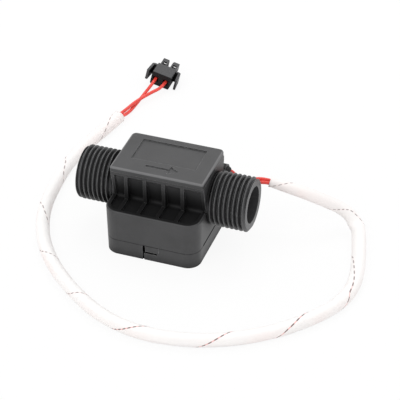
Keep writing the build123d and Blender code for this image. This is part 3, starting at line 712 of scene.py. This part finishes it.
def make_camera():
    """The camera of the photograph."""
    azimuth, elevation, roll = (radians(a) for a in (camera_azimuth, camera_elevation, camera_roll))
    back = Vector((sin(azimuth) * cos(elevation), -cos(azimuth) * cos(elevation), sin(elevation)))
    right = Vector((cos(azimuth), sin(azimuth), 0))
    up = back.cross(right)
    across = right * cos(roll) + up * sin(roll)
    upward = up * cos(roll) - right * sin(roll)
    data = bpy.data.cameras.new("camera")
    data.lens = camera_lens
    data.sensor_width = camera_sensor
    data.clip_start, data.clip_end = camera_range
    camera = bpy.data.objects.new("camera", data)
    turn = Matrix((across, upward, back)).transposed().to_4x4()
    camera.matrix_world = Matrix.Translation(camera_place) @ turn
    bpy.context.scene.collection.objects.link(camera)
    bpy.context.scene.camera = camera


def make_leads():
    """The two leads: a stretch inside the housing and the free cord outside it."""
    red = lead_insulation("lead_red", (0.83, 0.062, 0.045))
    plans = (
        ("lead_1", 1, lead_1_out, lead_1_end, 1, lead_1_length),
        ("lead_2", -1, lead_2_out, lead_2_end, -1, lead_2_length),
    )
    for name, side, out, end, entry, length in plans:
        start_x = lead_pair_x - side * lead_half_gap
        row_y = tunnel_y + side * lead_half_gap
        leaves = (grommet_face, row_y, cable_height)
        inside = [
            (start_x, lead_start_y, cable_height),
            (start_x, row_y - lead_corner, cable_height),
            (start_x, row_y, cable_height),
            (start_x + lead_corner, row_y, cable_height),
            leaves,
        ]
        route = [leaves, *out, *beside(sleeve_route, side * lead_offset), *end]
        route += [plug_entry(entry, -lead_run_in), plug_entry(entry, lead_insert)]
        free = rope(name + "_wire", route, lead_radius)
        hidden = rope(name + "_inside", inside, lead_radius)
        for piece in (free, hidden):
            wear(piece, red)
            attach(piece, "housing")
        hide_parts(name)
        contact = "terminal_1" if side > 0 else "terminal_2"


def tracer_marks(places):
    """Turns that the tracer yarn has made and dashes that it has had at each place."""
    spots = places / mm
    turns = np.interp(spots, *zip(*tracer_turns))
    lengths = np.interp(spots, *zip(*tracer_dashes))
    steps = np.diff(spots) * 2 / (lengths[1:] + lengths[:-1])
    return turns, np.concatenate([[0.0], np.cumsum(steps)])


def make_sleeve():
    """The braided sleeve: an open tube a little flattened here and there, and folded once."""
    line, places = centreline(sleeve_route, sleeve_step)
    tangents = np.gradient(line, axis=0)
    verts, faces, wraps, lengths = [], [], [], []
    count = len(line)
    for inner in (False, True):
        for i in range(count):
            centre = Vector(line[i])
            way = Vector(tangents[i]).normalized()
            side = way.cross(Vector((0, 0, 1))).normalized()
            up = side.cross(way)
            along = places[i]
            wave = noise.noise(Vector((along * sleeve_flat_rate, 3.1, 0.7)))
            slack = noise.noise(Vector((along * sleeve_slack_rate, 8.2, 2.4)))
            fold = max(0.0, 1.0 - (centre - fold_place).length / fold_reach)
            fold = fold * fold * (3 - 2 * fold)
            flat = sleeve_flatness + sleeve_flat_change * wave + fold_flatness * fold
            mouth = max(0.0, 1.0 - min(along, places[-1] - along) / mouth_reach)
            pinch = max(0.0, 1.0 - along / sleeve_pinch_end) ** 2
            swell = sleeve_slack * slack + mouth_flare * mouth * mouth - sleeve_pinch * pinch
            size = sleeve_radius * (1.0 + swell)
            low_limit = size * (1.0 - flat)
            if inner:
                size -= sleeve_wall
            wide = size * (1.0 + sleeve_flat_spread * flat)
            tall = size * (1.0 - flat)
            centre.z = max(centre.z - sleeve_radius * flat, low_limit)
            for k in range(sleeve_sides):
                angle = tau * k / sleeve_sides
                verts.append(centre + side * (wide * cos(angle)) + up * (tall * sin(angle)))
    for inner in (False, True):
        first = count * sleeve_sides if inner else 0
        for i in range(count - 1):
            for k in range(sleeve_sides):
                a = first + i * sleeve_sides + k
                b = first + i * sleeve_sides + (k + 1) % sleeve_sides
                c, d = b + sleeve_sides, a + sleeve_sides
                faces.append((a, d, c, b) if inner else (a, b, c, d))
                u0, u1 = k / sleeve_sides, (k + 1) / sleeve_sides
                low, high = places[i], places[i + 1]
                corners = [(u0, low), (u1, low), (u1, high), (u0, high)]
                wraps += [corners[0], corners[3], corners[2], corners[1]] if inner else corners
    for end in (0, count - 1):
        for k in range(sleeve_sides):
            a = end * sleeve_sides + k
            b = end * sleeve_sides + (k + 1) % sleeve_sides
            c, d = b + count * sleeve_sides, a + count * sleeve_sides
            faces.append((a, d, c, b) if end == 0 else (a, b, c, d))
            wraps += [(k / sleeve_sides, places[end])] * 4
    mesh = bpy.data.meshes.new("sleeve_braid")
    mesh.from_pydata([tuple(v) for v in verts], [], faces)
    wrap = mesh.uv_layers.new(name="wrap")
    wrap.data.foreach_set("uv", np.array(wraps, np.float32).ravel())
    turns, dashes = tracer_marks(places)
    for name, values in (("along", places), ("tracer_turns", turns), ("tracer_dashes", dashes)):
        marks = mesh.attributes.new(name, "FLOAT", "POINT")
        every = np.tile(np.repeat(values, sleeve_sides), 2)
        marks.data.foreach_set("value", every.astype(np.float32))
    mesh.shade_smooth()
    piece = bpy.data.objects.new("sleeve_braid", mesh)
    bpy.context.scene.collection.objects.link(piece)
    wear(piece, fibre_braid("sleeve_fibre"))
    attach(piece, "housing")
    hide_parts("sleeve")


def thread_radius(x, start, end_face, turn):
    """Radius of the thread at a place along the pipe, for a turn of 0 to 1 round it."""
    away = abs(((x - start) / thread_pitch - turn + 0.5) % 1.0 - 0.5) * thread_pitch
    foot = (thread_pitch - thread_root_land) / 2
    stand = min(max((foot - away) / (foot - thread_land / 2), 0.0), 1.0)
    run_in = min(max((abs(x) - thread_start) / thread_run_in, 0.0), 1.0)
    radius = thread_root_radius + (thread_crest_radius - thread_root_radius) * stand * run_in
    return min(radius, thread_crest_radius - max(0.0, abs(x) - end_face + thread_chamfer))


def thread_wall(side):
    """Points, faces and corner normals of one threaded pipe end, with a right hand thread."""
    body_low, body_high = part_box("body")
    end_face = body_high.x if side > 0 else -body_low.x
    low, high = sorted((side * (thread_start - wall_bite), side * end_face))
    turns = int((high - low) / thread_pitch) + spare_turns
    rows = [
        low + (k - turns_before) * thread_pitch + place
        for k in range(turns)
        for place in profile_places
    ]
    start = low - turns_before * thread_pitch
    points = np.zeros((thread_steps, len(rows), 3))
    for i in range(thread_steps):
        turn = i / thread_steps
        for j, place in enumerate(rows):
            x = min(max(place + thread_pitch * turn, low), high)
            radius = thread_radius(x, start, end_face, turn)
            up = pipe_axis_height + radius * sin(tau * turn)
            points[i, j] = (x, radius * cos(tau * turn), up)

    def index(i, j):
        return (i, j) if i < thread_steps else (i - thread_steps, j + len(profile_places))

    quads = {}
    for i in range(thread_steps):
        for j in range(len(rows) - len(profile_places) - 1):
            corners = [index(i, j), index(i + 1, j), index(i + 1, j + 1), index(i, j + 1)]
            a, b, c, d = (points[k] for k in corners)
            normal = np.cross(d - b, c - a)
            size = np.linalg.norm(normal)
            if size > least_normal:
                quads[i, j] = corners, -normal / size
    faces, normals = [], []
    for (i, j), (corners, normal) in quads.items():
        back = quads.get((i - 1, j) if i else (thread_steps - 1, j - len(profile_places)))
        front = quads.get(index(i + 1, j))
        first = normal + (back[1] if back else normal)
        last = normal + (front[1] if front else normal)
        faces.append([p * len(rows) + q for p, q in corners])
        normals.append([first, last, last, first])
    # A flat rim closes the wall down to the solid's own end face
    rim = len(rows) * thread_steps
    outer = -1 if side > 0 else 0
    inner = thread_crest_radius - end_chamfer
    ring = [
        (side * end_face, inner * cos(tau * i / thread_steps),
         pipe_axis_height + inner * sin(tau * i / thread_steps))
        for i in range(thread_steps)
    ]
    for i in range(thread_steps):
        k = (i + 1) % thread_steps
        a, b = (p * len(rows) + outer % len(rows) for p in (i, k))
        quad = [a, b, rim + k, rim + i]
        faces.append(quad if side > 0 else quad[::-1])
        normals.append([(side, 0, 0)] * 4)
    return np.concatenate([points.reshape(-1, 3), ring]), faces, normals


def make_body():
    """The moulded body: the solid's own surface, with its plain pipe walls given real threads."""
    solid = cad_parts["body"].data
    points = [np.array([v.co for v in solid.vertices])]
    smooth = np.array([n.vector for n in solid.corner_normals])
    near = (thread_root_radius - wall_tolerance, thread_crest_radius + wall_tolerance)
    faces, normals = [], []
    for face in solid.polygons:
        spots = points[0][list(face.vertices)]
        out = np.hypot(spots[:, 1], spots[:, 2] - pipe_axis_height)
        middle = face.center
        round_way = Vector((0, -(middle.z - pipe_axis_height), middle.y)).normalized()
        on_pipe = (
            abs(spots[:, 0]).min() > thread_start - wall_bite
            and out.min() > near[0]
            and out.max() < near[1]
            and abs(face.normal.dot(round_way)) < wall_twist
            and abs(face.normal.x) < wall_tilt
        )
        if not on_pipe:
            faces.append(list(face.vertices))
            normals.append(smooth[list(face.loop_indices)])
    offset = len(points[0])
    for side in (1, -1):
        wall, quads, bends = thread_wall(side)
        points.append(wall)
        faces += [[offset + k for k in quad] for quad in quads]
        normals += bends
        offset += len(wall)
    mesh = bpy.data.meshes.new("moulded_body")
    mesh.from_pydata(np.concatenate(points).tolist(), [], faces)
    corner_normals = np.concatenate([np.array(n) for n in normals])
    corner_normals /= np.linalg.norm(corner_normals, axis=1)[:, None]
    mesh.shade_smooth()
    mesh.normals_split_custom_set(corner_normals.tolist())
    piece = bpy.data.objects.new("moulded_body", mesh)
    bpy.context.scene.collection.objects.link(piece)
    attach(piece, "housing")
    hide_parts("body")
    return piece


def dress_nodes(body):
    """Materials of the body and of the CAD nodes that show as they are."""
    charcoal = moulded_plastic(
        "charcoal_plastic",
        (0.045, 0.045, 0.0465),
        (0.27, 0.27, 0.275),
        edge=0.24,
        shades=(painted_seam_shade, rib_shade),
    )
    plug_black = moulded_plastic(
        "plug_black", (0.036, 0.036, 0.04), (0.12, 0.12, 0.12), 0.3, 0.36, 0.1, (plug_rear_painted_shade,)
    )
    wheel_white = moulded_plastic("wheel_white", (0.72, 0.72, 0.7), (0.8, 0.8, 0.78), 0.3, 0.4)
    bush_ivory = moulded_plastic("bush_ivory", (0.72, 0.68, 0.58), (0.8, 0.77, 0.7), 0.2, 0.3, 0.08)
    screw_steel = plain_metal("screw_steel", (0.62, 0.61, 0.58), 0.34, (1.0, 1.0, 9.0))
    shaft_steel = plain_metal("shaft_steel", (0.66, 0.66, 0.66), 0.18, (1.0, 1.0, 12.0), 0.1)
    wire_metal = plain_metal("tinned_wire", (0.74, 0.73, 0.7), 0.28, (0.4, 6.0, 6.0), 0.2)
    black_rubber = soft_rubber("black_rubber", (0.012, 0.012, 0.013))
    finishes = {
        "top_cover": charcoal,
        "bottom_cap": charcoal,
        "chamber_cover": charcoal,
        "cover_seal": black_rubber,
        "wire_grommet": black_rubber,
        "cover_screws": screw_steel,
        "rotor_wheel": wheel_white,
        "rotor_magnet": ring_ferrite("ring_ferrite"),
        "rotor_shaft": shaft_steel,
        "lower_bush": bush_ivory,
        "upper_bush": bush_ivory,
        "sensor_board": board_laminate("board_laminate"),
        "reed_glass": reed_tube_glass("reed_glass"),
        "reed_wire_in": wire_metal,
        "reed_wire_out": wire_metal,
        "connector_housing": plug_black,
        "terminal_1": wire_metal,
        "terminal_2": wire_metal,
    }
    for node, finish in finishes.items():
        wear(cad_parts[node], finish)
    wear(body, charcoal)


def make_studio():
    """White floor, white surroundings and soft light from above."""
    data = bpy.data.meshes.new("floor")
    around = ((-1, -1), (1, -1), (1, 1), (-1, 1))
    corners = [(x * floor_reach, y * floor_reach, floor_level) for x, y in around]
    data.from_pydata(corners, [], [(0, 1, 2, 3)])
    floor = bpy.data.objects.new("floor", data)
    bpy.context.scene.collection.objects.link(floor)
    wear(floor, studio_floor("floor_white"))
    sky = Finish("surroundings", world=True)
    camera = sky.node("ShaderNodeLightPath", output="Is Camera Ray")
    through = sky.node("ShaderNodeLightPath", output="Is Transmission Ray")
    seen = camera.math("MAXIMUM", through)
    strength = sky_light + (1.0 - sky_light) * seen
    inputs = {"Color": (1, 1, 1, 1), "Strength": strength}
    bpy.context.scene.world = sky.show(sky.node("ShaderNodeBackground", {}, inputs))
    for name, place, size, power in lamps:
        lamp = bpy.data.lights.new(name, "AREA")
        lamp.shape = "SQUARE"
        lamp.size = size
        lamp.energy = power
        holder = bpy.data.objects.new(name, lamp)
        holder.location = place
        holder.rotation_euler = (-Vector(place)).to_track_quat("-Z", "Y").to_euler()
        bpy.context.scene.collection.objects.link(holder)


bpy.context.scene.view_settings.view_transform = "Standard"
make_camera()
make_leads()
make_sleeve()
dress_nodes(make_body())
make_studio()
